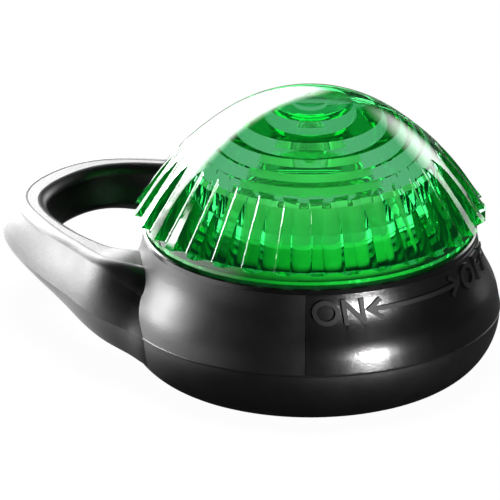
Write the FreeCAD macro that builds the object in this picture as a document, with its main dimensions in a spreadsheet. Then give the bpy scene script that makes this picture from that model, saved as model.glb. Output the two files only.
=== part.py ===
import FreeCAD, Part
import math
import os
import Sketcher

# Twist-lens safety marker light: a bowl-shaped moulded base with a teardrop
# loop, a fluted dome lens screwed into its neck, and a keyed LED module that
# the lens carries up and down to switch it.  Millimetres, +Z up the lens
# axis, origin at the centre of the flat underside, loop towards -X.
# Angles are in degrees about +Z, counted from +X.

V = FreeCAD.Vector
ORIGIN = V(0, 0, 0)
Z_AXIS = V(0, 0, 1)
doc = FreeCAD.newDocument("marker_light")
sheet = doc.addObject("Spreadsheet::Sheet", "Sheet")
sheet.Label = "dimensions"
aliases = []
pieces = []  # the objects that are exported


# ------------------------------------------------- numbers tied to the sheet
class Quantity:
    """A number together with the sheet expression that gives it."""

    def __init__(self, number, expr):
        self.n = float(number)
        self.expr = expr

    def __add__(self, other):
        other = quantity(other)
        return Quantity(self.n + other.n, "(%s + %s)" % (self.expr, other.expr))

    def __radd__(self, other):
        return quantity(other) + self

    def __sub__(self, other):
        other = quantity(other)
        return Quantity(self.n - other.n, "(%s - %s)" % (self.expr, other.expr))

    def __mul__(self, other):
        other = quantity(other)
        return Quantity(self.n * other.n, "(%s * %s)" % (self.expr, other.expr))

    def __truediv__(self, other):
        other = quantity(other)
        return Quantity(self.n / other.n, "(%s / %s)" % (self.expr, other.expr))


def quantity(value):
    return value if isinstance(value, Quantity) else Quantity(value, "%.6g" % value)


def cell(alias, value, meaning):
    """Put a driving dimension on the next sheet row."""
    aliases.append(alias)
    row = len(aliases)
    sheet.set("A%d" % row, alias.replace("_", " "))
    sheet.set("B%d" % row, "%.6g" % value)
    sheet.set("C%d" % row, meaning)
    sheet.setAlias("B%d" % row, alias)
    return Quantity(value, "Sheet.%s" % alias)


# ---------------------------------------------------------------- dimensions
bowl_rad = cell("bowl_rad", 16.0, "widest radius, at the mould parting line")
part_z = cell("part_z", 5.4, "height of the parting line on the bowl")
foot_rad = cell("foot_rad", 11.0, "radius of the flat underside")
neck_rad = cell("neck_rad", 14.05, "neck radius")
neck_top = cell("neck_top", 12.45, "top of the neck")
bore_rad = cell("bore_rad", 12.72, "smooth bore and root of the female thread")
shoulder_z = cell("shoulder_z", 7.9, "shoulder under the bore")
pocket_rad = cell("pocket_rad", 10.95, "cell pocket radius")
floor_z = cell("floor_z", 1.8, "floor thickness")
pitch = cell("pitch", 1.5, "thread pitch, one start, right hand")
tooth_root = cell("tooth_root", 0.86, "thread ridge width at its root")
tooth_tip = cell("tooth_tip", 0.46, "thread ridge width at its crest")
male_minor = cell("male_minor", 12.0, "lens skirt radius under the thread")
male_major = cell("male_major", 12.64, "crest of the lens thread")
female_minor = cell("female_minor", 12.08, "crest of the housing thread")
rim_z = cell("rim_z", 13.0, "underside of the lens rim")
rim_rad = cell("rim_rad", 14.0, "lens rim radius")
crest_z = cell("crest_z", 13.9, "where the flutes start")
crest_rad = cell("crest_rad", 14.78, "lens radius over the flute crests")
dome_top = cell("dome_top", 24.45, "top of the dome")
skirt_z = cell("skirt_z", 8.3, "lower end of the lens skirt")
skirt_in = cell("skirt_in", 10.9, "inner radius of the skirt")
cavity_rad = cell("cavity_rad", 10.45, "inner radius of the lens above the skirt step")
step_z = cell("step_z", 10.85, "step that stops the module carrier")
groove_rad = cell("groove_rad", 11.72, "seal groove floor")
flutes = cell("flutes", 32, "number of flutes")
flute_cut = cell("flute_cut", 1.06, "radius of each scalloped flute")
flute_low = cell("flute_low", 14.08, "flute root radius at the bottom")
flute_high = cell("flute_high", 10.6, "flute root radius where it runs out")
flute_end = cell("flute_end", 19.3, "height where a flute runs out")
cell_rad = cell("cell_rad", 10.0, "coin cell radius")
cell_high = cell("cell_high", 1.6, "coin cell thickness")
strip_thick = cell("strip_thick", 0.25, "sheet metal thickness")
board_rad = cell("board_rad", 10.0, "LED board radius")
board_z = cell("board_z", 10.8, "underside of the LED board")
board_thick = cell("board_thick", 1.0, "LED board thickness")
plate_rad = cell("plate_rad", 10.25, "white reflector radius")
plate_top = cell("plate_top", 14.4, "front of the white reflector")
led_rad = cell("led_rad", 2.5, "LED radius")
led_top = cell("led_top", 20.2, "tip of the LED")
travel_gap = cell("travel_gap", 0.27, "contact gap when the lens is at off")
loop_top = cell("loop_top", 10.5, "top of the loop")
legend_raise = cell("legend_raise", 0.25, "how far the legend stands out")
legend_high = cell("legend_high", 2.1, "height of the legend")
legend_mid = cell("legend_mid", 10.5, "middle height of the legend")
doc.recompute()

# Heights shared by neighbouring pieces
seal_low, seal_high = 11.3, 12.4  # seal groove round the lens skirt
snap_low, snap_high = 9.18, 9.82  # retaining ring groove inside the skirt
strip_top = floor_z + strip_thick
board_top = board_z + board_thick


# ------------------------------------------------------------------- helpers
def piece(obj):
    """Mark an object for export under its label."""
    pieces.append(obj)
    return obj


def origin_feature(body, role):
    return [f for f in body.Origin.OriginFeatures if f.Role == role][0]


def spline(points):
    curve = Part.BSplineCurve()
    curve.interpolate(points)
    return curve


def line(start, end):
    return Part.LineSegment(start, end)


def sketch(body, name, role="XZ_Plane"):
    profile = body.newObject("Sketcher::SketchObject", name)
    profile.AttachmentSupport = [(origin_feature(body, role), "")]
    profile.MapMode = "FlatFace"
    return profile


def pin_start(profile, geo, point, tag):
    """Pin the start of one sketch edge to the sheet."""
    for axis, value, on_axis in (("x", point[0], -2), ("y", point[1], -1)):
        if abs(value.n) < 1e-9:
            profile.addConstraint(Sketcher.Constraint("PointOnObject", geo, 1, on_axis))
        else:
            kind = "Distance" + axis.upper()
            index = profile.addConstraint(Sketcher.Constraint(kind, -1, 1, geo, 1, value.n))
            name = "%s_%s" % (tag, axis)
            profile.renameConstraint(index, name)
            profile.setExpression("Constraints." + name, value.expr)


def outline(profile, points, splines=(), tag="p"):
    """Closed outline.  Each (first, last) in splines marks points on one smooth curve."""
    points = [(quantity(x), quantity(y)) for x, y in points]
    flat = [V(x.n, y.n, 0) for x, y in points]
    last_of = dict(splines)
    edges = []
    i = 0
    while i < len(points):
        if i in last_of:
            edges.append((i, profile.addGeometry(spline(flat[i:last_of[i] + 1]))))
            i = last_of[i]
        else:
            edges.append((i, profile.addGeometry(line(flat[i], flat[(i + 1) % len(flat)]))))
            i += 1
    for k, (i, geo) in enumerate(edges):
        following = edges[(k + 1) % len(edges)][1]
        profile.addConstraint(Sketcher.Constraint("Coincident", geo, 2, following, 1))
        pin_start(profile, geo, points[i], "%s%d" % (tag, i))


def rectangle(x0, y0, x1, y1):
    return [(x0, y0), (x1, y0), (x1, y1), (x0, y1)]


def spin_body(label, points, splines=()):
    """A turned piece: closed (radius, height) outline revolved about Z."""
    body = doc.addObject("PartDesign::Body", label)
    profile = sketch(body, label + "_profile")
    outline(profile, points, splines)
    turned = body.newObject("PartDesign::Revolution", label + "_turn")
    turned.Profile = profile
    turned.ReferenceAxis = (profile, ["V_Axis"])
    turned.Angle = 360.0
    doc.recompute()
    return body


def add_pad(body, name, points, low, thick, role="XY_Plane"):
    """Pad a closed outline by thick, from low along the plane's normal."""
    profile = sketch(body, name + "_profile", role)
    outline(profile, points)
    profile.setExpression("AttachmentOffset.Base.z", quantity(low).expr)
    pad = body.newObject("PartDesign::Pad", name + "_pad")
    pad.Profile = profile
    pad.setExpression("Length", quantity(thick).expr)
    return pad


def pad_body(label, points, low, thick, role="XY_Plane"):
    body = doc.addObject("PartDesign::Body", label)
    add_pad(body, label, points, low, thick, role)
    doc.recompute()
    return body


def strip_body(label, points, width):
    """Bent sheet metal: an (x, z) side outline, padded evenly about Y = 0."""
    return pad_body(label, points, -width / 2, width, "XZ_Plane")


def helix_ridge(body, name, inner, outer, wide_in, wide_out, start_z, rise):
    """A right-hand helical ridge fused to the body."""
    profile = sketch(body, name + "_tooth")
    start_z = quantity(start_z)
    outline(profile, [(inner, start_z - wide_in / 2), (outer, start_z - wide_out / 2),
                      (outer, start_z + wide_out / 2), (inner, start_z + wide_in / 2)])
    helix = body.newObject("PartDesign::AdditiveHelix", name)
    helix.Profile = profile
    helix.ReferenceAxis = (profile, ["V_Axis"])
    helix.Mode = 0  # pitch, height and angle
    helix.setExpression("Pitch", pitch.expr)
    helix.Height = rise
    helix.Angle = 0
    helix.LeftHanded = False
    helix.Reversed = False
    doc.recompute()


def box(name, corner, size):
    solid = doc.addObject("Part::Box", name)
    solid.Length, solid.Width, solid.Height = size
    solid.Placement = FreeCAD.Placement(V(*corner), FreeCAD.Rotation())
    return solid


def cylinder(name, radius, height, base):
    solid = doc.addObject("Part::Cylinder", name)
    solid.Radius, solid.Height = radius, height
    solid.Placement = FreeCAD.Placement(V(*base), FreeCAD.Rotation())
    return solid


def fuse(name, shapes):
    fused = doc.addObject("Part::MultiFuse", name)
    fused.Shapes = shapes
    return fused


def cut(name, base, tool):
    result = doc.addObject("Part::Cut", name)
    result.Base, result.Tool = base, tool
    return result


# --------------------------------------------------------------------- lens
# A thread ridge is sunk into its wall by thread_sink and widened to suit.
thread_sink = 0.1
sunk_root = tooth_root + 0.066

# Dome outline from the crest line up: height above the rim underside, radius.
dome = [
    (0.9, 14.78), (1.1, 14.62), (1.5, 14.34), (2.0, 14.02), (2.5, 13.70), (3.0, 13.38),
    (3.5, 13.04), (4.0, 12.68), (4.5, 12.30), (5.0, 11.90), (5.5, 11.47), (6.0, 11.00),
    (6.5, 10.50), (7.0, 9.97), (7.5, 9.42), (8.0, 8.84), (8.5, 8.23), (9.0, 7.55),
    (9.5, 6.79), (10.0, 5.90), (10.5, 4.81), (11.0, 3.34), (11.3, 2.0), (11.43, 0.9),
]
# Inner stepped rings from the axis out: riser radius, tread height above the
# rim underside.
rings = [(1.33, 10.2), (3.4, 9.9), (5.7, 9.05), (7.2, 8.2), (8.3, 7.35), (9.2, 6.5), (10.2, 5.65)]
cavity_high = 5.2  # top of the plain cavity wall above the rim underside
snap_deep = 0.28  # depth of the retaining ring groove
relief_high, relief_deep = 0.25, 0.15  # step under the rim

crest_angle = -50.6  # one flute crest points this way
lug_angle = crest_angle + 90  # the index lug sits under another crest
flute_length = 12.0
flute_lead = 2.5  # how far the flute cutter starts below the crest line


def lens_body():
    relief_z = rim_z - relief_high
    relief_rad = rim_rad - relief_deep
    points = [
        (skirt_in, skirt_z), (male_minor, skirt_z), (male_minor, seal_low),
        (groove_rad, seal_low), (groove_rad, seal_high), (male_major, seal_high),
        (male_major, relief_z), (relief_rad, relief_z), (relief_rad, rim_z),
        (rim_rad, rim_z), (rim_rad, crest_z),
    ]
    first = len(points)
    points += [(crest_rad + (radius - dome[0][1]), rim_z + height) for height, radius in dome]
    points.append((0, dome_top))
    last = len(points) - 1
    inner = 0
    for radius, height in rings:
        points += [(inner, rim_z + height), (radius, rim_z + height)]
        inner = radius
    points += [
        (cavity_rad, rim_z + cavity_high), (cavity_rad, step_z), (skirt_in, step_z),
        (skirt_in, snap_high), (skirt_in + snap_deep, snap_high),
        (skirt_in + snap_deep, snap_low), (skirt_in, snap_low),
    ]
    return spin_body("lens", points, [(first, last)])


def cut_flutes(lens):
    """Repeat a slanted cylinder whose line nearest the axis is the flute root."""
    root_low = V(flute_low.n, 0, crest_z.n)
    root_high = V(flute_high.n, 0, flute_end.n)
    along = (root_high - root_low).normalize()
    outward = V(along.z, 0, -along.x)
    start = root_low + outward * flute_cut.n - along * flute_lead
    cutter = lens.newObject("PartDesign::SubtractiveCylinder", "lens_flute")
    cutter.setExpression("Radius", flute_cut.expr)
    cutter.Height = flute_length
    # the first flute sits half a flute pitch off the crest
    turn = FreeCAD.Rotation(Z_AXIS, crest_angle + 180.0 / flutes.n)
    tilt = FreeCAD.Rotation(Z_AXIS, along)
    cutter.Placement = FreeCAD.Placement(turn.multVec(start), turn.multiply(tilt))
    doc.recompute()
    pattern = lens.newObject("PartDesign::PolarPattern", "lens_flutes")
    pattern.Originals = [cutter]
    pattern.Axis = (origin_feature(lens, "Z_Axis"), [""])
    pattern.Angle = 360
    pattern.setExpression("Occurrences", flutes.expr)
    lens.Tip = pattern
    doc.recompute()


def add_lug(lens):
    """Index lug on the rim, to read against the legend."""
    back, bevel, face = 13.3, 13.92, crest_rad.n - 0.06  # radial distances
    half_root, half_face = 1.9, 0.75
    plan = [(back, -half_root), (bevel, -half_root), (face, -half_face),
            (face, half_face), (bevel, half_root), (back, half_root)]
    cosine = math.cos(math.radians(lug_angle))
    sine = math.sin(math.radians(lug_angle))
    points = [(x * cosine - y * sine, x * sine + y * cosine) for x, y in plan]
    lens.Tip = add_pad(lens, "lens_lug", points, rim_z + 0.02, crest_z - rim_z + 0.1)
    doc.recompute()


lens = piece(lens_body())
helix_ridge(lens, "lens_thread", male_minor - thread_sink, male_major,
            sunk_root, tooth_tip, start_z=8.75, rise=2.1)
cut_flutes(lens)
add_lug(lens)

# ------------------------------------------------------------ housing shell
# Bowl flank above the parting line: radius, height, for a bowl of
# flank_bowl_rad.
flank_bowl_rad = 16.0
flank = [(15.955, 5.75), (15.80, 6.75), (15.42, 7.9), (15.17, 8.4), (14.57, 9.7), (14.16, 11.2)]
neck_z = 11.9  # where the flank meets the straight neck
bowl_steps = 9  # divisions of the quarter ellipse under the parting line
seam_out, seam_in, seam_half = 0.05, 0.012, 0.1  # parting line ridge
lip_chamfer = 0.12  # outer edge of the neck
bore_chamfer = 0.2
keyway_half = 1.25
keyway_in, keyway_out = 10.4, 11.65
keyway_deep = 2.0


def shell_body():
    points = [(0, 0), (foot_rad, 0)]
    for k in range(1, bowl_steps):
        angle = math.pi / 2 * k / bowl_steps
        points.append((foot_rad + (bowl_rad - foot_rad) * math.sin(angle),
                       part_z * (1 - math.cos(angle))))
    seam = len(points)
    points += [(bowl_rad - seam_in, part_z - seam_half), (bowl_rad + seam_out, part_z),
               (bowl_rad - seam_in, part_z + seam_half)]
    flank_first = len(points) - 1
    points += [(bowl_rad + (radius - flank_bowl_rad), z) for radius, z in flank]
    flank_last = len(points) - 1
    points += [
        (neck_rad, neck_z), (neck_rad, neck_top - lip_chamfer),
        (neck_rad - lip_chamfer, neck_top), (bore_rad + bore_chamfer, neck_top),
        (bore_rad, neck_top - bore_chamfer), (bore_rad, shoulder_z),
        (pocket_rad, shoulder_z), (pocket_rad, floor_z), (0, floor_z),
    ]
    return spin_body("housing_shell", points, [(1, seam), (flank_first, flank_last)])


def cut_keyways(shell):
    """Two keyways that keep the LED module from turning with the lens."""
    profile = sketch(shell, "keyway_profile", "XY_Plane")
    profile.setExpression("AttachmentOffset.Base.z", shoulder_z.expr)
    for tag, low, high in (("plus", keyway_in, keyway_out), ("minus", -keyway_out, -keyway_in)):
        outline(profile, rectangle(-keyway_half, low, keyway_half, high), tag=tag)
    pocket = shell.newObject("PartDesign::Pocket", "keyways")
    pocket.Profile = profile
    pocket.Length = keyway_deep
    doc.recompute()


shell = shell_body()
helix_ridge(shell, "neck_thread", female_minor, bore_rad + thread_sink,
            tooth_tip, sunk_root, start_z=8.0, rise=2.5)
cut_keyways(shell)

# ---------------------------------------------------------------------- loop
# One closed sweep of sections from the bowl, round the tip and back.
# Columns: outer top edge and inner top edge, each (distance from the lens
# axis to -X, distance from the XZ plane); parting height; underside height;
# top height less loop_top; swell of the parting line past the outer top edge;
# size of the softened outer top edge.
stations = [
    ((6.2, 12.30), (6.2, 8.6), 5.40, 1.90, -1.10, 2.25, 4.5),
    ((8.4, 12.92), (8.4, 8.6), 5.60, 2.50, -0.62, 1.48, 4.5),
    ((9.7, 13.16), (9.6, 8.45), 5.80, 2.92, -0.26, 1.26, 3.6),
    ((10.9, 13.33), (10.7, 8.35), 6.00, 3.30, -0.05, 1.15, 2.8),
    ((13.55, 12.86), (12.75, 9.10), 6.50, 4.10, 0.0, 1.18, 2.1),
    ((16.1, 11.82), (15.0, 9.12), 6.78, 4.80, 0.0, 1.20, 1.9),
    ((18.45, 10.94), (17.3, 8.60), 6.92, 5.50, 0.0, 1.18, 1.9),
    ((20.95, 9.83), (19.6, 7.76), 7.10, 6.05, 0.0, 1.18, 1.9),
    ((23.32, 8.50), (21.85, 6.66), 7.25, 6.42, 0.0, 1.20, 1.8),
    ((25.38, 7.08), (23.55, 5.42), 7.42, 6.70, 0.0, 1.22, 1.7),
    ((27.15, 5.08), (24.75, 3.95), 7.58, 6.88, 0.0, 1.22, 1.6),
    ((28.12, 2.62), (25.40, 2.15), 7.67, 6.97, 0.0, 1.15, 1.5),
    ((28.42, 0.0), (25.6, 0.0), 7.70, 7.00, 0.0, 1.10, 1.5),
]


def loop_section(station, side):
    """Closed wire across the loop; side is the sign of Y."""
    outer, inner, mid_z, low_z, top_offset, swell, soft = station
    inner_edge = V(-inner[0], side * inner[1], 0)
    across = V(-outer[0], side * outer[1], 0) - inner_edge
    width = across.Length
    across.normalize()
    top_z = loop_top.n + top_offset

    def at(reach, z):
        """Point at a distance outward from the inner top edge."""
        return V(inner_edge.x + across.x * reach, inner_edge.y + across.y * reach, z)

    wall_foot = at(-0.72, low_z + 0.60)
    wall_head = at(0.0, top_z - 0.95)
    top_in = at(0.85, top_z)
    top_out = at(width - 0.55 * soft, top_z)
    crease = at(width + 0.05, top_z - 0.32 * soft)
    parting = at(width + swell, mid_z)
    keel = at(width + swell * 0.52, low_z + 0.25 + 0.10 * (mid_z - low_z))
    sole = at(-0.10, low_z)
    drop = crease.z - mid_z
    curves = [
        spline([wall_foot, at(-0.24, (wall_foot.z + wall_head.z) / 2), wall_head]),
        Part.Arc(wall_head, at(0.25, top_z - 0.28), top_in),
        line(top_in, top_out),
        Part.Arc(top_out, at(width - 0.14 * soft, top_z - 0.075 * soft), crease),
        spline([crease, at(width + swell * 0.40, crease.z - drop * 0.30),
                at(width + swell * 0.80, mid_z + drop * 0.28), parting]),
        spline([parting, at(width + swell * 0.90, mid_z - (mid_z - low_z) * 0.45), keel]),
        spline([keel, at(width * 0.55, low_z + 0.02), sole]),
        Part.Arc(sole, at(-0.54, low_z + 0.17), wall_foot),
    ]
    return Part.Wire([curve.toShape() for curve in curves])


def loop_outside():
    """The loop, trimmed so that it does not reach into the neck."""
    wires = [loop_section(station, -1) for station in stations]
    wires += [loop_section(station, 1) for station in reversed(stations[:-1])]
    ring = doc.addObject("Part::Feature", "loop_ring")
    ring.Shape = Part.makeLoft(wires, True, False)
    trim = cylinder("loop_trim", bore_rad.n + 0.7, 30, (0, 0, -5))
    trim.setExpression("Radius", (bore_rad + 0.7).expr)
    trimmed = cut("loop_outside", ring, trim)
    doc.recompute()
    return trimmed


# -------------------------------------------------------------------- legend
# Raised on the neck: ON and OFF in plain strokes with a double-headed arrow
# between them.
half_high = legend_high.n / 2
stroke_wide = 0.38
slant = -0.10  # sideways lean per unit of height
marks_in = 13.0  # radius where the marks start, inside the wall
letters = [  # letter, angle of its middle, width
    ("O", -47.9, 2.33), ("N", -38.5, 1.94),
    ("O", 12.4, 2.33), ("F", 22.4, 1.55), ("F", 30.2, 1.55),
]
arrow_wide = 0.36
arrow_start, arrow_end = -33.6, 5.7  # angles of the two tips
shaft_inset = 1.0  # angle between each tip and the end of the shaft


def stroke(x0, y0, x1, y1, width=stroke_wide):
    start, end = V(x0, y0, 0), V(x1, y1, 0)
    along = (end - start).normalize()
    offset = V(-along.y, along.x, 0) * (width / 2)
    corners = [start + offset, end + offset, end - offset, start - offset]
    return Part.Face(Part.makePolygon(corners + [corners[0]]))


def oval(half_wide, half_tall):
    return Part.Face(Part.Wire([Part.Ellipse(ORIGIN, half_wide, half_tall).toShape()]))


def letter(name, width):
    """Flat faces of one letter, centred on the origin."""
    edge = width / 2
    stem = edge - stroke_wide / 2
    if name == "O":
        return [oval(edge, half_high).cut(oval(edge - stroke_wide, half_high - stroke_wide))]
    left = stroke(-stem, -half_high, -stem, half_high)
    if name == "N":
        return [left, stroke(stem, -half_high, stem, half_high),
                stroke(-stem - 0.02, half_high - 0.12, stem + 0.02, -half_high + 0.12)]
    bar_y = half_high - stroke_wide / 2
    return [left, stroke(-edge, bar_y, edge, bar_y), stroke(-edge, 0.05, edge - 0.25, 0.05)]


def arrow_head(way):
    """Two strokes that meet at a tip pointing along way, +1 or -1."""
    return [stroke(way * 0.04, -side * 0.10, -way * 1.25, side * 0.80, arrow_wide)
            for side in (1, -1)]


def stand(faces, degrees):
    """Stand flat faces up at an angle round the neck and extrude them radially."""
    cosine, sine = math.cos(math.radians(degrees)), math.sin(math.radians(degrees))
    # flat x -> tangent (to the right seen from outside), flat y -> +Z
    matrix = FreeCAD.Matrix(
        -sine, -sine * slant, cosine, cosine * marks_in,
        cosine, cosine * slant, sine, sine * marks_in,
        0, 1, 0, legend_mid.n,
        0, 0, 0, 1)
    push = V(cosine, sine, 0) * 4.0
    return [face.transformGeometry(matrix).extrude(push) for face in faces]


def arrow_shaft():
    """A band round the neck."""
    span = arrow_end - arrow_start - 2 * shaft_inset
    base = V(0, 0, legend_mid.n - arrow_wide / 2)
    band = Part.makeCylinder(17.0, arrow_wide, base, Z_AXIS, span)
    band.rotate(ORIGIN, Z_AXIS, arrow_start + shaft_inset)
    return band.cut(Part.makeCylinder(marks_in, 3, V(0, 0, legend_mid.n - 1.5)))


def backed_face(curve_points, back_rad, low_z, high_z):
    """Face in the XZ plane between a smooth outer curve and a straight back."""
    outer = [V(radius, 0, z) for radius, z in curve_points]
    low, high = V(back_rad, 0, low_z), V(back_rad, 0, high_z)
    curves = [spline(outer), line(outer[-1], high), line(high, low), line(low, outer[0])]
    return Part.Face(Part.Wire([curve.toShape() for curve in curves]))


def legend_marks():
    marks = []
    for name, degrees, width in letters:
        marks += stand(letter(name, width), degrees)
    for degrees, way in ((arrow_start, -1), (arrow_end, 1)):
        marks += stand(arrow_head(way), degrees)
    marks.append(arrow_shaft())
    # the legend's face follows the flank, standing out by its height
    out = legend_raise.n
    curve = [(radius + out, z) for radius, z in flank[3:]] + [(neck_rad.n + out, neck_z)]
    skin = backed_face(curve, 13.5, 8.2, neck_z).revolve(ORIGIN, Z_AXIS, 360)
    legend = doc.addObject("Part::Feature", "legend_marks")
    legend.Shape = marks[0].fuse(marks[1:]).common(skin)
    return legend


def legend_panel():
    """Panel that stands out by a hair, which leaves a witness line round the legend."""
    out = 0.045
    low_z, high_z = part_z.n + 0.12, 11.86
    curve = [(bowl_rad.n - 0.02 + out, low_z)]
    curve += [(radius + out, z) for radius, z in flank]
    curve.append((neck_rad.n + out + 0.02, high_z))
    face = backed_face(curve, 13.35, low_z, high_z)
    face.rotate(ORIGIN, Z_AXIS, -54.6)
    panel = doc.addObject("Part::Feature", "legend_panel")
    panel.Shape = face.revolve(ORIGIN, Z_AXIS, 90.1)
    return panel


housing = piece(fuse("base_housing", [shell, loop_outside(), legend_panel(), legend_marks()]))
housing.Refine = False
doc.recompute()

# --------------------------------------------------- power: cells and strips
lower_z = strip_top
upper_z = lower_z + cell_high
cells_top = upper_z + cell_high

cradle_in, cradle_out = cell_rad + 0.12, cell_rad + 0.5
cradle_z, cradle_top = strip_top + 0.03, 5.85
piece(spin_body("battery_cradle", [(cradle_in, cradle_z), (cradle_out, cradle_z),
                                   (cradle_out, cradle_top), (cradle_in, cradle_top)]))

# Return strip: flat on the floor, then up the pocket wall on the +X side.
strip_end, riser_in, riser_top = -6.0, 10.52, 7.7
riser_out = riser_in + strip_thick
piece(strip_body("return_strip", [
    (strip_end, floor_z), (riser_out, floor_z), (riser_out, riser_top),
    (riser_in, riser_top), (riser_in, strip_top), (strip_end, strip_top)], 3.0))


def coin_cell(which, z):
    """Cap, gasket and can of a coin cell, can side up."""
    cap_face, cap_rad = 8.6, 9.3  # small lower face, wider body
    lip_rad, gasket_rad = 9.0, 9.68  # bore of the crimped lip, bore of the can
    cap_step, can_floor, lip_top = z + 0.3, z + 1.3, z + 0.22
    bevel = 0.15
    can_low, can_high = z + 0.02, z + cell_high
    piece(spin_body(which + "_cell_cap", [
        (0, z), (cap_face, z), (cap_face, cap_step), (cap_rad, cap_step),
        (cap_rad, can_floor), (0, can_floor)]))
    piece(spin_body(which + "_cell_gasket", [
        (cap_face, z + 0.1), (lip_rad, z + 0.1), (lip_rad, lip_top), (gasket_rad, lip_top),
        (gasket_rad, can_floor), (cap_rad, can_floor), (cap_rad, cap_step),
        (cap_face, cap_step)]))
    piece(spin_body(which + "_cell_can", [
        (lip_rad, can_low), (cell_rad - bevel, can_low), (cell_rad, can_low + bevel),
        (cell_rad, can_high - bevel), (cell_rad - bevel, can_high), (0, can_high),
        (0, can_floor), (gasket_rad, can_floor), (gasket_rad, lip_top), (lip_rad, lip_top)]))


coin_cell("lower", lower_z)
coin_cell("upper", upper_z)

# ------------------------------------------------------------ module carrier
ring_in, ring_out, ring_z = 6.5, 10.7, 9.85
leg_wide, leg_in, leg_z = 2.2, 9.4, 6.2
leg_deep, leg_high = 0.75, 4.0
tooth_deep, tooth_high = 2.0, 1.4  # teeth that ride in the keyways
slot_wide = 3.2


def module_carrier():
    parts = [spin_body("carrier_ring", [(ring_in, ring_z), (ring_out, ring_z),
                                        (ring_out, board_z), (ring_in, board_z)])]
    for i, side in enumerate((1, -1)):
        for name, deep, high in (("leg", leg_deep, leg_high), ("tooth", tooth_deep, tooth_high)):
            low_y = leg_in if side > 0 else -leg_in - deep
            parts.append(box("carrier_%s_%d" % (name, i), (-leg_wide / 2, low_y, leg_z),
                             (leg_wide, deep, high)))
    fused = fuse("carrier_fused", parts)
    doc.recompute()
    # a slot lets the side contact through the ring, a rebate clears its flat end
    slot = box("carrier_slot", (9.88, -slot_wide / 2, 9.0), (0.35, slot_wide, 3.0))
    rebate = box("carrier_rebate", (8.03, -slot_wide / 2, 10.5), (2.2, slot_wide, 0.6))
    result = cut("module_carrier", fused, fuse("carrier_slots", [slot, rebate]))
    doc.recompute()
    return result


piece(module_carrier())

# ------------------------------------------------------------- board and LED
lead_spacing = 2.54
lead_rad, lead_z = 0.28, 10.35
lead_hole_rad = 0.4
flange_rad, flange_z, flange_top = 2.9, 12.3, 13.3  # LED flange


def lead_pair(name, radius, height, z):
    """Two upright cylinders at the lead places."""
    return [cylinder("%s_%d" % (name, i), radius, height, (side * lead_spacing / 2, 0, z))
            for i, side in enumerate((-1, 1))]


disc = spin_body("led_board_disc", [(0, board_z), (board_rad, board_z),
                                    (board_rad, board_top), (0, board_top)])
holes = fuse("lead_holes", lead_pair("lead_hole", lead_hole_rad, 3, 10.0))
piece(cut("led_board", disc, holes))
doc.recompute()

piece(spin_body("led", [
    (0, flange_z), (flange_rad, flange_z), (flange_rad, flange_top), (led_rad, flange_top),
    (led_rad, led_top - 2.5), (2.30, led_top - 1.52), (1.77, led_top - 0.73),
    (0.96, led_top - 0.19), (0, led_top)], [(4, 8)]))
piece(fuse("led_leads", lead_pair("lead", lead_rad, flange_z - lead_z, lead_z)))
doc.recompute()


# ---------------------------------------------------------- board components
def component(label, x, y, size_x, size_y, high, z=board_top):
    """A block centred on (x, y), standing on the board unless z is given."""
    plan = rectangle(x - size_x / 2, y - size_y / 2, x + size_x / 2, y + size_y / 2)
    piece(pad_body(label, plan, z, high))


chip_y, chip_deep = 5.8, 3.9
component("driver_chip", 0.0, chip_y, 4.9, chip_deep, 1.2, board_top + 0.1)
pin_pitch = 1.27
pin_size = (0.42, 1.0, 0.22)
pins = []
for i in range(4):
    for side in (1, -1):
        pin_y = chip_y + side * chip_deep / 2
        if side < 0:
            pin_y -= pin_size[1]
        pin_x = pin_pitch * (i - 1.5) - pin_size[0] / 2
        pins.append(box("pin_%d_%d" % (i, side > 0), (pin_x, pin_y, board_top.n), pin_size))
piece(fuse("chip_pins", pins))
doc.recompute()
component("capacitor", -5.2, -4.4, 3.2, 1.6, 1.2)
component("resistor", 4.6, -4.8, 2.0, 1.25, 0.5)

# ----------------------------------------------------------------- reflector
plate_bore, plate_under, skirt_bore = 3.05, plate_top - 0.8, 9.55
piece(spin_body("reflector_plate", [
    (plate_bore, plate_under), (skirt_bore, plate_under), (skirt_bore, board_top),
    (board_rad - 0.05, board_top), (plate_rad, board_top + 0.3),
    (plate_rad, plate_top - 0.25), (plate_rad - 0.25, plate_top),
    (3.4, plate_top), (plate_bore, plate_top - 0.3)]))

# ------------------------------------------------------------------ contacts
# Spring finger under the board that meets the upper cell at the end of the
# turn: (x, z) outline.
tip_z = cells_top + travel_gap
leaf_z = board_z - 0.2  # underside of the metal against the board
piece(strip_body("contact_spring", [
    (-6.2, leaf_z), (-6.2, board_z), (-2.6, board_z), (-2.6, leaf_z), (-4.2, leaf_z),
    (0.6, tip_z + 0.25), (1.6, tip_z + 0.25), (3.2, tip_z + 1.6), (3.36, tip_z + 1.47),
    (1.8, tip_z), (0.4, tip_z), (-4.6, board_z - 0.35)], 3.0))
# Side finger that rides on the return strip: (x, z) outline.
piece(strip_body("side_contact", [
    (8.2, board_z), (10.15, board_z), (10.15, 8.9), (10.5, 8.3), (10.5, 6.5), (10.3, 6.5),
    (10.3, 8.25), (9.95, 8.85), (9.95, leaf_z), (8.2, leaf_z)], 2.8))

# --------------------------------------------------- lens seal and retainer
seal = piece(doc.addObject("Part::Torus", "lens_o_ring"))
seal.Radius1 = 12.21
seal.Radius2 = 0.47
seal.Placement = FreeCAD.Placement(V(0, 0, (seal_low + seal_high) / 2), FreeCAD.Rotation())

retainer_in, retainer_out = 10.3, 11.13
snap_play = 0.02  # gap above and below the ring in its groove
retainer_low, retainer_high = snap_low + snap_play, snap_high - snap_play
piece(spin_body("retaining_ring", rectangle(retainer_in, retainer_low,
                                            retainer_out, retainer_high)))
doc.recompute()

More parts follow.
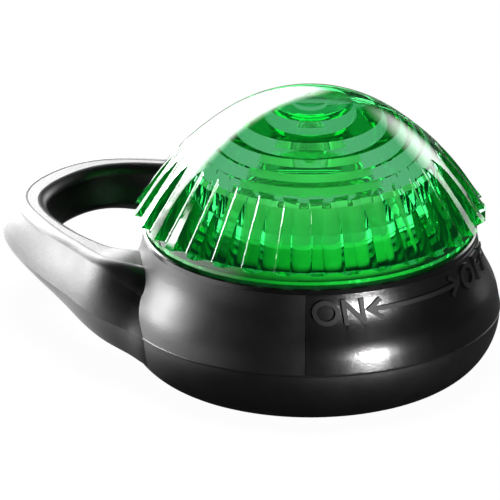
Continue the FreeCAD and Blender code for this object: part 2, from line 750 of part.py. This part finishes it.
# -------------------------------------------------------------------- export
bad = [obj.Name for obj in doc.Objects if "Invalid" in obj.State or "Error" in obj.State]
if bad:
    raise RuntimeError("failed objects: %s" % bad)
os.makedirs("parts", exist_ok=True)
for obj in pieces:
    if obj.Shape.isNull() or not obj.Shape.isValid():
        raise RuntimeError("bad shape: %s" % obj.Label)
    obj.Shape.exportStep("parts/%s.step" % obj.Label)
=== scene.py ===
"""Small round LED lamp: a black base housing, a clear green lens, and cells and a board inside.

The lamp's axis is Z and the floor lies just under z = 0. The camera looks from between
-Y and +X, a little above. Lengths are in metres.
"""
import bpy
import math
from functools import reduce
from mathutils import Vector, Matrix

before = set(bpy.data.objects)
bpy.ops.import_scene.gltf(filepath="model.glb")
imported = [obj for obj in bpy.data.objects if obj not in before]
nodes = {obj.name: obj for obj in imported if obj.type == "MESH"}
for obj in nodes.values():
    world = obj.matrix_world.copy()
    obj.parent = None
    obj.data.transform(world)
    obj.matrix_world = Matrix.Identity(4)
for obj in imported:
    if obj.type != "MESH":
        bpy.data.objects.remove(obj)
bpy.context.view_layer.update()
scene = bpy.context.scene
MM = 0.001

# View directions, shared by the floor, the camera, the lights and the world.
CAMERA_AZIMUTH = math.radians(37.0)     # round from -Y towards +X
CAMERA_ELEVATION = math.radians(22.1)
view_right = Vector((math.cos(CAMERA_AZIMUTH), math.sin(CAMERA_AZIMUTH), 0))
view_level = Vector((-math.sin(CAMERA_AZIMUTH), math.cos(CAMERA_AZIMUTH), 0))


# ------------------------------------------------------------- shader graphs
class Graph:
    """Builds the node tree of a material or a world.

    An input may be a number, a tuple (a colour without its alpha, or a vector)
    or a socket to link from.
    """

    def __init__(self, owner, output_kind="ShaderNodeOutputMaterial"):
        self.owner = owner
        owner.use_nodes = True
        self.tree = owner.node_tree
        self.tree.nodes.clear()
        self.output = self.tree.nodes.new(output_kind)
        self.coord_node = None

    def node(self, kind, inputs=None, **settings):
        made = self.tree.nodes.new(kind)
        for key, value in settings.items():
            setattr(made, key, value)
        for key, value in (inputs or {}).items():
            self.feed(made.inputs[key], value)
        return made

    def feed(self, socket, value):
        if isinstance(value, (int, float)):
            socket.default_value = value
        elif isinstance(value, tuple):
            # colour sockets have four components, vector sockets three
            socket.default_value = (*value, 1.0)[:len(socket.default_value)]
        else:
            self.tree.links.new(value, socket)

    def finish(self, surface, volume=None):
        self.feed(self.output.inputs["Surface"], surface)
        if volume is not None:
            self.feed(self.output.inputs["Volume"], volume)
        return self.owner

    # coordinates and ray kinds
    def coords(self, space="Object"):
        if self.coord_node is None:
            self.coord_node = self.node("ShaderNodeTexCoord")
        return self.coord_node.outputs[space]

    def xyz(self):
        return self.node("ShaderNodeSeparateXYZ", {0: self.coords()}).outputs

    def scaled_coords(self, scale):
        inputs = {"Scale": scale, "Vector": self.coords()}
        return self.node("ShaderNodeMapping", inputs).outputs[0]

    def rays(self):
        return self.node("ShaderNodeLightPath").outputs

    # arithmetic
    def math(self, operation, a, b=None):
        inputs = {0: a} if b is None else {0: a, 1: b}
        return self.node("ShaderNodeMath", inputs, operation=operation).outputs[0]

    def add(self, *terms):
        return reduce(lambda a, b: self.math("ADD", a, b), terms)

    def product(self, *factors):
        return reduce(lambda a, b: self.math("MULTIPLY", a, b), factors)

    def above(self, value, limit):
        return self.math("GREATER_THAN", value, limit)

    def below(self, value, limit):
        return self.math("LESS_THAN", value, limit)

    def radius(self, a, b):
        return self.math("SQRT", self.add(self.product(a, a), self.product(b, b)))

    def uneven(self, base, pattern, spread):
        """A base value raised by up to `spread` where the pattern is strong."""
        return self.add(base, self.product(pattern, spread))

    def map_range(self, value, start, end, smooth=False):
        """0 at `start` and 1 at `end`."""
        return self.remap(value, start, end, low=0.0, high=1.0, smooth=smooth)

    def remap(self, value, start, end, low, high, smooth):
        inputs = {"From Min": start, "From Max": end, "To Min": low, "To Max": high,
                  "Value": value}
        shape = "SMOOTHSTEP" if smooth else "LINEAR"
        return self.node("ShaderNodeMapRange", inputs, interpolation_type=shape).outputs["Result"]

    # textures and mixes
    def noise(self, scale, detail=4.0, roughness=0.5, vector=None):
        inputs = {"Scale": scale, "Detail": detail, "Roughness": roughness,
                  "Vector": vector or self.coords()}
        return self.node("ShaderNodeTexNoise", inputs).outputs["Fac"]

    def bump(self, height, distance, strength, normal=None):
        inputs = {"Distance": distance, "Strength": strength, "Height": height}
        if normal is not None:
            inputs["Normal"] = normal
        return self.node("ShaderNodeBump", inputs).outputs["Normal"]

    def mix_color(self, factor, a, b):
        # 6, 7 and output 2 are the Mix node's colour sockets
        return self.node("ShaderNodeMix", {0: factor, 6: a, 7: b}, data_type="RGBA").outputs[2]

    def mix_float(self, factor, a, b):
        # 2, 3 and output 0 are the Mix node's float sockets
        return self.node("ShaderNodeMix", {0: factor, 2: a, 3: b}, data_type="FLOAT").outputs[0]

    # shaders
    def shader(self, kind, **inputs):
        """A shader's output; an underscore in an input's name stands for a space."""
        named = {key.replace("_", " "): value for key, value in inputs.items()}
        return self.node(kind, named).outputs[0]

    def principled(self, **inputs):
        return self.shader("ShaderNodeBsdfPrincipled", **inputs)

    def emission(self, **inputs):
        return self.shader("ShaderNodeEmission", **inputs)

    def transparent(self, color):
        return self.shader("ShaderNodeBsdfTransparent", Color=color)

    def mix_shader(self, factor, a, b):
        return self.node("ShaderNodeMixShader", {0: factor, 1: a, 2: b}).outputs[0]


def new_material(name):
    return Graph(bpy.data.materials.new(name))


def assign(material, *pieces):
    for piece in pieces:
        mesh = nodes[piece].data
        mesh.materials.clear()
        mesh.materials.append(material)
        for polygon in mesh.polygons:
            polygon.material_index = 0


# ----------------------------------------------------------------- materials
# Smooth panel on the housing's side, and the raised legend on it.
PANEL_START, PANEL_END = math.radians(-54.6), math.radians(35.5)   # from +X towards +Y
PANEL_BOTTOM, PANEL_TOP = 5.48 * MM, 11.93 * MM     # parting line, neck edge
PANEL_MIN_RADIUS = 13.4 * MM
LEGEND_BOTTOM, LEGEND_TOP = 9.3 * MM, 11.75 * MM
LEGEND_RISE = 0.16 * MM         # anything further out than this is the legend's face
# Panel radius at height z: FLANK_RADIUS + FLANK_SLOPE * h + FLANK_CURVE * h^2,
# where h = z - FLANK_HEIGHT.
FLANK_HEIGHT = 10.5 * MM
FLANK_RADIUS = 14.315 * MM
FLANK_SLOPE = -0.2745
FLANK_CURVE = 0.0629 / MM


def housing_material():
    """Black moulding: fine texture, a smoother panel round the legend."""
    g = new_material("black_moulding")
    x, y, z = g.xyz()
    angle = g.math("ARCTAN2", y, x)
    radius = g.radius(x, y)
    in_sector = g.product(g.above(angle, PANEL_START), g.below(angle, PANEL_END))
    panel = g.product(in_sector, g.above(z, PANEL_BOTTOM), g.below(z, PANEL_TOP),
                      g.above(radius, PANEL_MIN_RADIUS))
    height = g.math("SUBTRACT", z, FLANK_HEIGHT)
    flank = g.add(FLANK_RADIUS, g.product(height, FLANK_SLOPE),
                  g.product(height, height, FLANK_CURVE))
    in_legend_band = g.product(g.above(z, LEGEND_BOTTOM), g.below(z, LEGEND_TOP))
    legend = g.product(g.above(radius, g.add(flank, LEGEND_RISE)), in_legend_band, panel)

    grain = g.noise(scale=5200.0, detail=3.0, roughness=0.6)
    fine = g.noise(scale=14000.0, detail=2.0, roughness=0.5)
    soft = g.noise(scale=420.0, detail=3.0, roughness=0.5)
    specks = g.noise(scale=900.0, detail=6.0, roughness=0.7)

    # satin outside the panel, glossier inside it, polished above it, dull on the legend
    satin = g.uneven(base=0.32, pattern=soft, spread=0.12)
    glossy = g.uneven(base=0.19, pattern=soft, spread=0.08)
    polished, dull = 0.16, 0.50
    roughness = g.mix_float(panel, satin, glossy)
    roughness = g.mix_float(g.above(z, PANEL_TOP), roughness, polished)
    roughness = g.mix_float(legend, roughness, dull)

    coarse_bump = g.bump(grain, distance=0.020 * MM, strength=0.55)
    normal = g.bump(fine, distance=0.010 * MM, strength=0.5, normal=coarse_bump)
    dust = g.map_range(specks, start=0.62, end=0.80)
    clean_color, dusty_color = (0.0014, 0.0014, 0.0015), (0.005, 0.005, 0.0055)
    base_specular, legend_loss = 0.5, 0.3
    specular = g.math("SUBTRACT", base_specular, g.product(legend, legend_loss))
    return g.finish(g.principled(
        Base_Color=g.mix_color(dust, clean_color, dusty_color), Roughness=roughness,
        Normal=normal, Specular_IOR_Level=specular, IOR=1.5))


def lens_material():
    """Clear green plastic: colour from the thickness the light crosses, plus a painted green glow
    inside it.
    """
    g = new_material("clear_green")
    waves = g.noise(scale=260.0, detail=2.0, roughness=0.5)
    scratches = g.noise(scale=3800.0, detail=3.0, roughness=0.6)
    scratched = g.map_range(scratches, start=0.45, end=0.85)
    glass = g.principled(
        Base_Color=(0.75, 1.0, 0.81),
        Roughness=g.uneven(base=0.008, pattern=scratched, spread=0.03),
        Normal=g.bump(waves, distance=0.012 * MM, strength=0.6),
        IOR=1.50, Transmission_Weight=1.0, Specular_IOR_Level=0.5)
    # shadow and diffuse rays pass straight through, tinted
    rays = g.rays()
    passing = g.math("MAXIMUM", rays["Is Shadow Ray"], rays["Is Diffuse Ray"])
    surface = g.mix_shader(passing, glass, g.transparent(color=(0.32, 0.68, 0.34)))
    absorbed = g.shader("ShaderNodeVolumeAbsorption", Color=(0.08, 0.83, 0.45), Density=480.0)
    # painted glow: green emission that stands in for light scattered inside the plastic
    painted_glow = g.emission(Color=(0.06, 1.0, 0.46), Strength=4.2)
    volume = g.node("ShaderNodeAddShader", {0: absorbed, 1: painted_glow}).outputs[0]
    return g.finish(surface, volume)


def metal(name, color, roughness, grain=900.0, stretch=(1, 1, 1)):
    """Grained metal; `stretch` scales the grain's coordinates along X, Y and Z."""
    g = new_material(name)
    pattern = g.noise(scale=grain, detail=4.0, roughness=0.6, vector=g.scaled_coords(stretch))
    dark = tuple(0.86 * channel for channel in color)
    return g.finish(g.principled(
        Base_Color=g.mix_color(g.map_range(pattern, start=0.3, end=0.75), dark, color),
        Metallic=1.0,
        Roughness=g.uneven(base=roughness, pattern=pattern, spread=0.14),
        Normal=g.bump(pattern, distance=0.01 * MM, strength=0.5)))


def plastic(name, color, roughness, grain=1500.0, depth=0.012 * MM, darken=0.12):
    """Moulded plastic with a fine grain and broad, slightly darker patches."""
    g = new_material(name)
    fine = g.noise(scale=grain, detail=3.0, roughness=0.55)
    broad = g.noise(scale=grain / 6.0, detail=3.0, roughness=0.5)
    dark = tuple(channel * (1 - darken) for channel in color)
    return g.finish(g.principled(
        Base_Color=g.mix_color(g.map_range(broad, start=0.3, end=0.75), dark, color),
        Roughness=g.uneven(base=roughness, pattern=broad, spread=0.08),
        Normal=g.bump(fine, distance=depth, strength=0.5), Specular_IOR_Level=0.5))


def board_material():
    """Green solder mask over a fine brick pattern."""
    g = new_material("solder_mask")
    weave = g.node("ShaderNodeTexBrick", {
        "Vector": g.scaled_coords((620.0, 620.0, 620.0)),
        "Color1": (0.010, 0.13, 0.055), "Color2": (0.012, 0.15, 0.062),
        "Mortar": (0.022, 0.24, 0.10), "Mortar Size": 0.03}).outputs
    return g.finish(g.principled(
        Base_Color=weave["Color"], Roughness=0.28,
        Normal=g.bump(weave["Fac"], distance=0.02 * MM, strength=0.5)))


def resin_material():
    """Clear LED body that lets shadow rays through."""
    g = new_material("led_resin")
    resin = g.principled(
        Base_Color=(0.80, 1.0, 0.84),
        Roughness=g.uneven(base=0.02, pattern=g.noise(scale=2500.0), spread=0.03),
        IOR=1.52, Transmission_Weight=0.85)
    clear = g.transparent(color=(0.85, 1.0, 0.88))
    return g.finish(g.mix_shader(g.rays()["Is Shadow Ray"], resin, clear))


assign(housing_material(), "base_housing")
assign(lens_material(), "lens")
assign(plastic("seal_rubber", color=(0.012, 0.012, 0.013), roughness=0.45, grain=2200.0,
               depth=0.01 * MM), "lens_o_ring")
assign(plastic("white_reflector", color=(0.86, 0.88, 0.86), roughness=0.18, grain=900.0,
               depth=0.004 * MM, darken=0.04), "reflector_plate")
assign(plastic("grey_moulding", color=(0.10, 0.10, 0.11), roughness=0.42),
       "module_carrier", "battery_cradle", "retaining_ring")
assign(plastic("cell_gasket", color=(0.03, 0.03, 0.035), roughness=0.4),
       "lower_cell_gasket", "upper_cell_gasket")
assign(metal("cell_steel", color=(0.72, 0.72, 0.74), roughness=0.22, grain=700.0,
             stretch=(1, 1, 6)), "lower_cell_can", "upper_cell_can")
assign(metal("cap_steel", color=(0.62, 0.62, 0.64), roughness=0.28),
       "lower_cell_cap", "upper_cell_cap")
assign(metal("contact_brass", color=(0.80, 0.62, 0.32), roughness=0.24, grain=1200.0,
             stretch=(1, 4, 1)), "return_strip", "contact_spring", "side_contact")
assign(metal("tinned", color=(0.82, 0.82, 0.83), roughness=0.25, grain=2000.0),
       "led_leads", "chip_pins")
assign(plastic("chip_black", color=(0.02, 0.02, 0.022), roughness=0.35, grain=5000.0),
       "driver_chip", "resistor")
assign(plastic("ceramic_tan", color=(0.52, 0.38, 0.24), roughness=0.3, grain=4000.0),
       "capacitor")
assign(board_material(), "led_board")
assign(resin_material(), "led")


# --------------------------------------------------------------------- floor
def flat_sheet(name, width, height):
    """A rectangle centred on its origin, facing its own +Z."""
    x, y = width / 2, height / 2
    mesh = bpy.data.meshes.new(name)
    mesh.from_pydata([(-x, -y, 0), (x, -y, 0), (x, y, 0), (-x, y, 0)], [], [(0, 1, 2, 3)])
    sheet = bpy.data.objects.new(name, mesh)
    scene.collection.objects.link(sheet)
    return sheet


def floor_material():
    """Near white to the camera, dark as a bounce surface, bright in reflections."""
    g = new_material("pale_floor")
    rays = g.rays()
    camera_ray, glossy_ray = rays["Is Camera Ray"], rays["Is Glossy Ray"]
    transmission_ray = rays["Is Transmission Ray"]

    mottle = g.noise(scale=30.0, detail=3.0, roughness=0.5)
    seen = g.mix_color(g.map_range(mottle, start=0.3, end=0.7),
                       (0.93, 0.93, 0.93), (0.95, 0.95, 0.95))
    unseen = g.mix_color(mottle, (0.03, 0.03, 0.031), (0.036, 0.036, 0.037))
    matt = g.principled(Base_Color=g.mix_color(camera_ray, unseen, seen), Roughness=0.9,
                        Specular_IOR_Level=0.1)

    # emission strength added for rays through the lens and for reflections
    transmission_lift, glossy_lift = 0.5, 2.6
    lift = g.math("MAXIMUM", g.product(transmission_ray, transmission_lift),
                  g.product(glossy_ray, glossy_lift))
    lit = g.emission(Color=(1, 1, 1), Strength=g.add(1.0, lift))

    # The floor to the camera's left is lit, so the lamp's side mirrors a pale sweep.
    x, y, _ = g.xyz()
    cosine, sine = math.cos(CAMERA_AZIMUTH), math.sin(CAMERA_AZIMUTH)
    across = g.add(g.product(x, cosine), g.product(y, sine))
    away = g.math("SUBTRACT", g.product(y, cosine), g.product(x, sine))

    def patch(across_start, across_end, away_start, away_end):
        return g.product(g.map_range(across, across_start, across_end, smooth=True),
                         g.map_range(away, away_start, away_end, smooth=True))

    far_patch = patch(across_start=-0.012, across_end=-0.034, away_start=-0.030, away_end=0.006)
    near_patch = patch(across_start=-0.026, across_end=-0.044,
                       away_start=-0.066, away_end=-0.026)

    # share of the emission seen by each kind of ray
    camera_share, transmission_share, sweep_share = 0.97, 0.95, 0.95
    through = g.product(transmission_ray, transmission_share)
    sweep = g.product(g.math("MAXIMUM", far_patch, near_patch), sweep_share, glossy_ray)
    share = g.math("MAXIMUM", g.product(camera_ray, camera_share),
                   g.math("MAXIMUM", through, sweep))
    return g.finish(g.mix_shader(share, matt, lit))


FLOOR_SIDE = 6.0
FLOOR_GAP = 0.02 * MM       # keeps the floor clear of the lamp's underside
floor = flat_sheet("floor", FLOOR_SIDE, FLOOR_SIDE)
floor.location = (0, 0, -FLOOR_GAP)
floor.data.materials.append(floor_material())

# -------------------------------------------------------------------- camera
CAMERA_DISTANCE = 1.8695
CAMERA_TARGET = Vector((0, 0, 0.013))
SHIFT_LEFT, SHIFT_DOWN = 0.00506, 0.00248       # the camera's offset in its own view

view_forward = (view_level * math.cos(CAMERA_ELEVATION)
                + Vector((0, 0, -math.sin(CAMERA_ELEVATION)))).normalized()
view_up = view_right.cross(view_forward).normalized()
camera_data = bpy.data.cameras.new("camera")
camera = bpy.data.objects.new("camera", camera_data)
scene.collection.objects.link(camera)
camera_data.sensor_width = 36.0
camera_data.lens = 1600.0
camera_data.clip_start = 0.01
camera_data.clip_end = 20
camera_place = (CAMERA_TARGET - view_forward * CAMERA_DISTANCE
                - view_right * SHIFT_LEFT - view_up * SHIFT_DOWN)
camera_turn = Matrix((view_right, view_up, -view_forward)).transposed()
camera.matrix_world = Matrix.Translation(camera_place) @ camera_turn.to_4x4()
scene.camera = camera

# -------------------------------------------------------------------- lights
LIGHT_TARGET = Vector((0, 0, 0.012))


def aim(source, azimuth, elevation, distance, facing):
    """Put a light on a sphere round the target, its `facing` axis towards the target.

    Azimuth is in degrees round from the camera, positive to its right.
    """
    turn, rise = math.radians(azimuth), math.radians(elevation)
    level = view_right * math.sin(turn) - view_level * math.cos(turn)
    outward = level * math.cos(rise) + Vector((0, 0, math.sin(rise)))
    source.location = LIGHT_TARGET + outward * distance
    source.rotation_euler = (-outward).to_track_quat(facing, "Y").to_euler()


def softbox(name, azimuth, elevation, distance, width, height, power):
    """A rectangular area light."""
    light = bpy.data.lights.new(name, "AREA")
    light.shape = "RECTANGLE"
    light.size, light.size_y = width, height
    light.energy = power
    source = bpy.data.objects.new(name, light)
    scene.collection.objects.link(source)
    aim(source, azimuth, elevation, distance, facing="-Z")
    return source


def card(name, azimuth, elevation, width, height, strength, core, distance=0.60):
    """A card seen only in reflections, fading from its `core` (0 to 1) to its edges."""
    sheet = flat_sheet(name, width, height)
    aim(sheet, azimuth, elevation, distance, facing="Z")
    sheet.visible_camera = False
    sheet.visible_diffuse = False
    sheet.visible_transmission = False

    g = new_material(name)
    x, y, _ = g.xyz()
    radius = g.radius(g.product(x, 2.0 / width), g.product(y, 2.0 / height))
    fade = g.map_range(radius, start=1.0, end=core, smooth=True)
    front = g.emission(Strength=g.product(fade, strength))
    back = g.emission(Strength=0.0)
    backfacing = g.node("ShaderNodeNewGeometry").outputs["Backfacing"]
    sheet.data.materials.append(g.finish(g.mix_shader(backfacing, front, back)))


softbox("key_right", azimuth=37, elevation=2, distance=0.50, width=0.068, height=0.074,
        power=6.3)
card("left_back", azimuth=-152, elevation=14, width=0.80, height=0.66, strength=50.0, core=0.0)
card("left", azimuth=-104, elevation=9, width=0.32, height=0.40, strength=42.0, core=0.2)
card("right_back", azimuth=142, elevation=14, width=0.50, height=0.44, strength=7.0, core=0.0)
top_fill = softbox("top_fill", azimuth=0, elevation=84, distance=0.60, width=0.34, height=0.34,
                   power=4.6)
top_fill.visible_glossy = False
top_fill.visible_transmission = False


# --------------------------------------------------------------------- world
def build_world():
    """White to the camera, grey through the lens, nearly black to other rays."""
    world = bpy.data.worlds.new("studio")
    scene.world = world
    g = Graph(world, "ShaderNodeOutputWorld")
    ahead = g.node("ShaderNodeVectorMath", {0: g.coords("Generated"), 1: tuple(view_level)},
                   operation="DOT_PRODUCT").outputs["Value"]
    # a little brighter on the side facing the camera
    ambient = g.remap(ahead, start=-0.25, end=0.75, low=0.01, high=0.02, smooth=True)
    rays = g.rays()
    transmission_strength = 0.60
    through = g.product(rays["Is Transmission Ray"], transmission_strength)
    strength = g.math("MAXIMUM", rays["Is Camera Ray"], g.math("MAXIMUM", through, ambient))
    g.finish(g.shader("ShaderNodeBackground", Color=(1, 1, 1), Strength=strength))


build_world()

# -------------------------------------------------------------------- render
scene.view_settings.view_transform = "Standard"
scene.view_settings.look = "None"
cycles = scene.cycles
cycles.max_bounces = 24
cycles.transmission_bounces = 20
cycles.transparent_max_bounces = 24
cycles.glossy_bounces = 8
cycles.diffuse_bounces = 5
cycles.volume_bounces = 0
cycles.use_denoising = True
cycles.sample_clamp_indirect = 6.0
